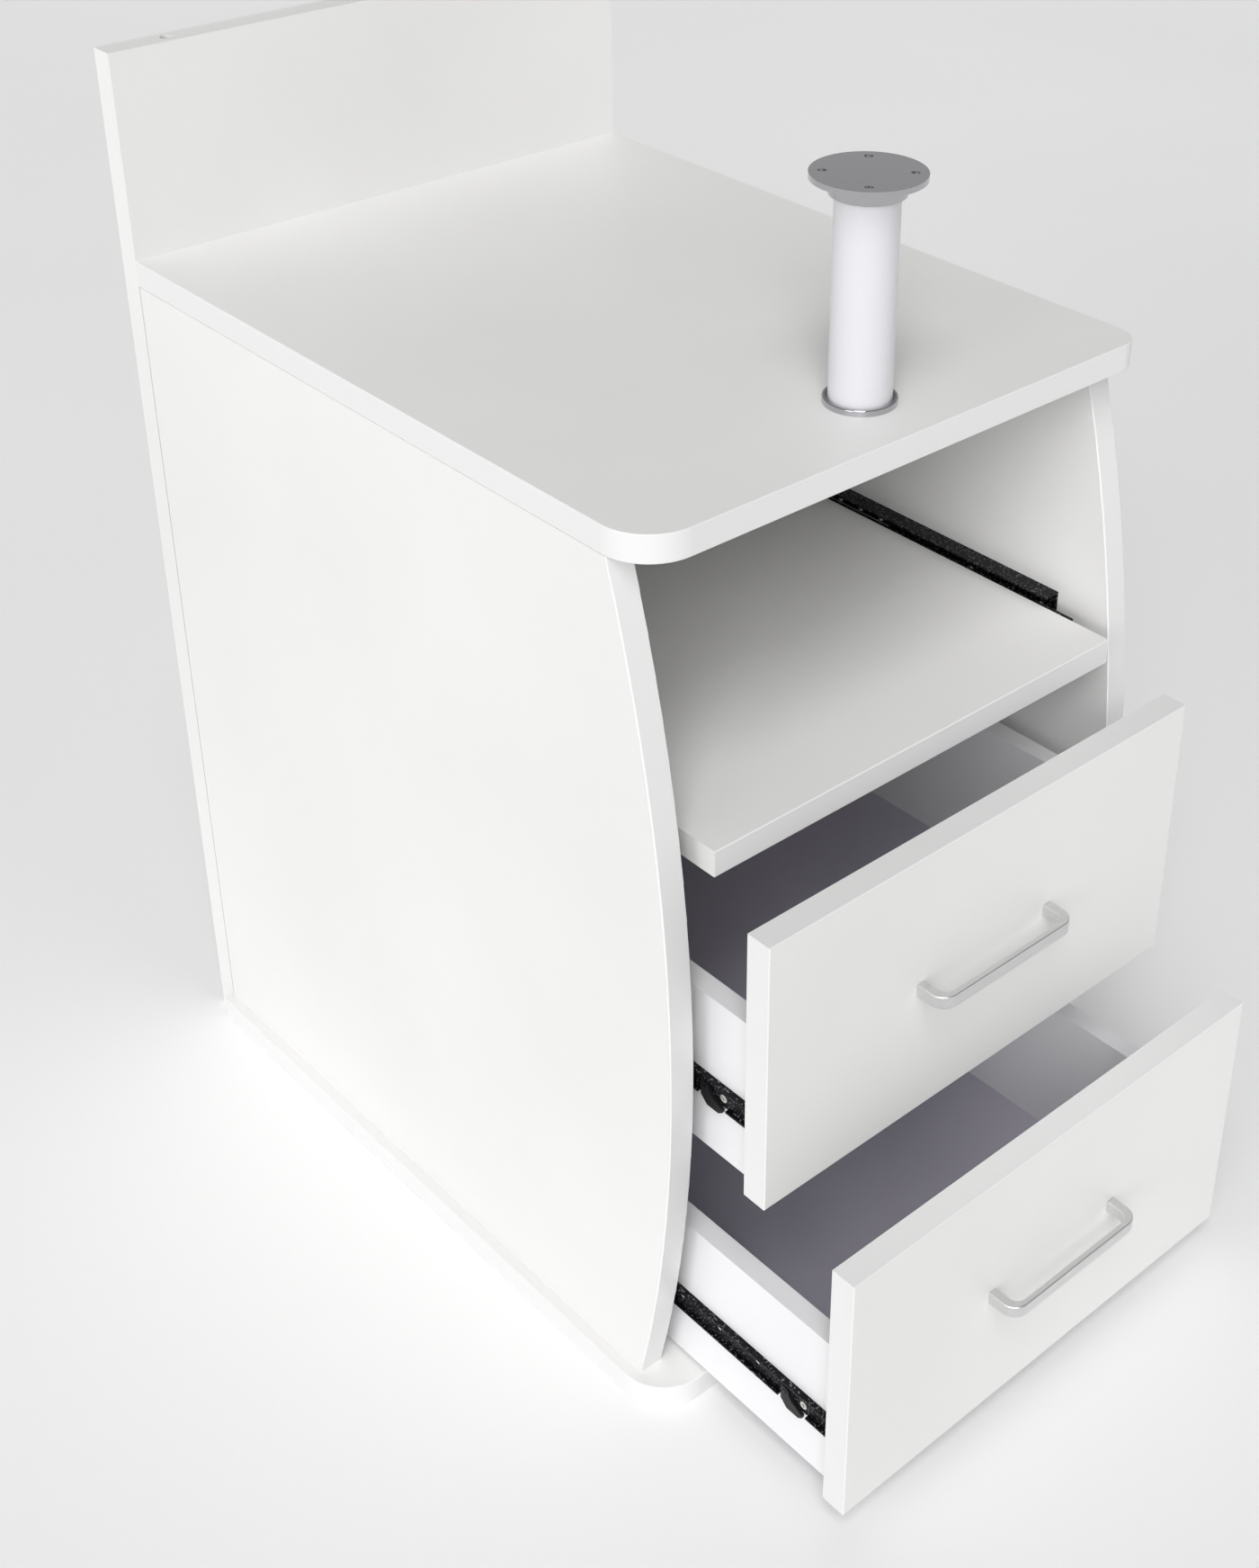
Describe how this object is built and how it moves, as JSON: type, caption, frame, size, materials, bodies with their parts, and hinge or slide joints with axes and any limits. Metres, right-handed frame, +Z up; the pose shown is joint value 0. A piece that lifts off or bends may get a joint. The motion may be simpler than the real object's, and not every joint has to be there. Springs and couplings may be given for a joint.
{
  "type": "under desk drawer pedestal",
  "caption": "Desk pedestal of white boards with an open bay, a pull-out shelf and drawers with bow handles on ball-bearing slides, and a post and back panel that carry a desktop.",
  "frame": {"origin": "on the floor under the middle of the carcass, at the underside of the base board", "axes": "+Z up, drawer fronts face -Y, +X to the right when facing the fronts"},
  "size_m": [0.377, 0.634, 0.695],
  "materials": {
    "cage_steel": "dark retainer with greased balls",
    "chrome": "polished",
    "drawer_white": "white foil on particle board",
    "hardboard_white": "white lacquered hardboard",
    "lever_black": "moulded black plastic",
    "post_white": "satin white powder coat",
    "satin_nickel": "satin nickel",
    "screw_zinc": "bright zinc",
    "slide_black": "black electrophoretic coat",
    "white_edge_band": "satin white edge banding",
    "white_melamine": "smooth white melamine foil on particle board"
  },
  "bodies": {
    "carcass": {"base_board": "white_melamine", "base_edge_band": "white_edge_band", "side_panel_left": "white_melamine", "side_panel_right": "white_melamine", "side_edge_bands": "white_edge_band", "back_panel": "white_melamine", "deck_board": "white_melamine", "deck_edge_band": "white_edge_band", "support_post": "post_white", "post_collar_lower": "chrome", "post_flange_upper": "chrome", "cam_lock_nuts": "screw_zinc", "cam_lock_bolts": "screw_zinc", "base_screws": "screw_zinc", "back_screws": "screw_zinc", "cabinet_rail_screws": "screw_zinc", "lower_cabinet_rail_left": "slide_black", "lower_cabinet_rail_right": "slide_black", "upper_cabinet_rail_left": "slide_black", "upper_cabinet_rail_right": "slide_black", "shelf_cabinet_rail_left": "slide_black", "shelf_cabinet_rail_right": "slide_black"},
    "lower_drawer": {"lower_drawer_front": "white_melamine", "lower_front_edge_band": "white_edge_band", "lower_box_side_left": "drawer_white", "lower_box_side_right": "drawer_white", "lower_box_back": "drawer_white", "lower_box_bottom": "hardboard_white", "lower_box_screws": "screw_zinc", "lower_handle": "satin_nickel", "lower_handle_screws": "screw_zinc", "lower_rail_left": "slide_black", "lower_rail_right": "slide_black", "lower_rail_screws": "screw_zinc"},
    "upper_drawer": {"upper_drawer_front": "white_melamine", "upper_front_edge_band": "white_edge_band", "upper_box_side_left": "drawer_white", "upper_box_side_right": "drawer_white", "upper_box_back": "drawer_white", "upper_box_bottom": "hardboard_white", "upper_box_screws": "screw_zinc", "upper_handle": "satin_nickel", "upper_handle_screws": "screw_zinc", "upper_rail_left": "slide_black", "upper_rail_right": "slide_black", "upper_rail_screws": "screw_zinc"},
    "shelf": {"pull_out_shelf": "white_melamine", "shelf_edge_band": "white_edge_band", "shelf_rail_left": "slide_black", "shelf_rail_right": "slide_black", "shelf_rail_screws": "screw_zinc"},
    "lower_cages": {"lower_ball_cages": "cage_steel"},
    "lower_lever_left": {"lower_release_lever_left": "lever_black"},
    "lower_lever_right": {"lower_release_lever_right": "lever_black"},
    "upper_cages": {"upper_ball_cages": "cage_steel"},
    "upper_lever_left": {"upper_release_lever_left": "lever_black"},
    "upper_lever_right": {"upper_release_lever_right": "lever_black"},
    "shelf_cages": {"shelf_ball_cages": "cage_steel"},
    "shelf_lever_left": {"shelf_release_lever_left": "lever_black"},
    "shelf_lever_right": {"shelf_release_lever_right": "lever_black"}
  },
  "joints": [
    {"name": "lower_slide", "type": "slide", "parent": "carcass", "child": "lower_drawer", "axis": [0, -1, 0], "range_m": [-0.136, 0.124]},
    {"name": "lower_cage_slide", "type": "slide", "parent": "carcass", "child": "lower_cages", "axis": [0, -1, 0], "range_m": [-0.068, 0.062]},
    {"name": "lower_lever_left_pivot", "type": "hinge", "parent": "lower_drawer", "child": "lower_lever_left", "pos_m": [-0.1553, -0.314, 0.0635], "axis": [-1, 0, 0], "range_deg": [0, 10], "stiffness_Nm_per_rad": 0.02, "springref_deg": -1.15},
    {"name": "lower_lever_right_pivot", "type": "hinge", "parent": "lower_drawer", "child": "lower_lever_right", "pos_m": [0.1553, -0.314, 0.0635], "axis": [-1, 0, 0], "range_deg": [0, 10], "stiffness_Nm_per_rad": 0.02, "springref_deg": -1.15},
    {"name": "upper_slide", "type": "slide", "parent": "carcass", "child": "upper_drawer", "axis": [0, -1, 0], "range_m": [-0.069, 0.191]},
    {"name": "upper_cage_slide", "type": "slide", "parent": "carcass", "child": "upper_cages", "axis": [0, -1, 0], "range_m": [-0.0345, 0.0955]},
    {"name": "upper_lever_left_pivot", "type": "hinge", "parent": "upper_drawer", "child": "upper_lever_left", "pos_m": [-0.1553, -0.247, 0.241], "axis": [-1, 0, 0], "range_deg": [0, 10], "stiffness_Nm_per_rad": 0.02, "springref_deg": -1.15},
    {"name": "upper_lever_right_pivot", "type": "hinge", "parent": "upper_drawer", "child": "upper_lever_right", "pos_m": [0.1553, -0.247, 0.241], "axis": [-1, 0, 0], "range_deg": [0, 10], "stiffness_Nm_per_rad": 0.02, "springref_deg": -1.15},
    {"name": "shelf_slide", "type": "slide", "parent": "carcass", "child": "shelf", "axis": [0, -1, 0], "range_m": [-0.0175, 0.2425]},
    {"name": "shelf_cage_slide", "type": "slide", "parent": "carcass", "child": "shelf_cages", "axis": [0, -1, 0], "range_m": [-0.00875, 0.12125]},
    {"name": "shelf_lever_left_pivot", "type": "hinge", "parent": "shelf", "child": "shelf_lever_left", "pos_m": [-0.1553, -0.1815, 0.3875], "axis": [-1, 0, 0], "range_deg": [0, 10], "stiffness_Nm_per_rad": 0.02, "springref_deg": -1.15},
    {"name": "shelf_lever_right_pivot", "type": "hinge", "parent": "shelf", "child": "shelf_lever_right", "pos_m": [0.1553, -0.1815, 0.3875], "axis": [-1, 0, 0], "range_deg": [0, 10], "stiffness_Nm_per_rad": 0.02, "springref_deg": -1.15}
  ],
  "couplings": [
    {"joint": "lower_cage_slide", "follows": "lower_slide", "ratio": 0.5},
    {"joint": "upper_cage_slide", "follows": "upper_slide", "ratio": 0.5},
    {"joint": "shelf_cage_slide", "follows": "shelf_slide", "ratio": 0.5}
  ]
}
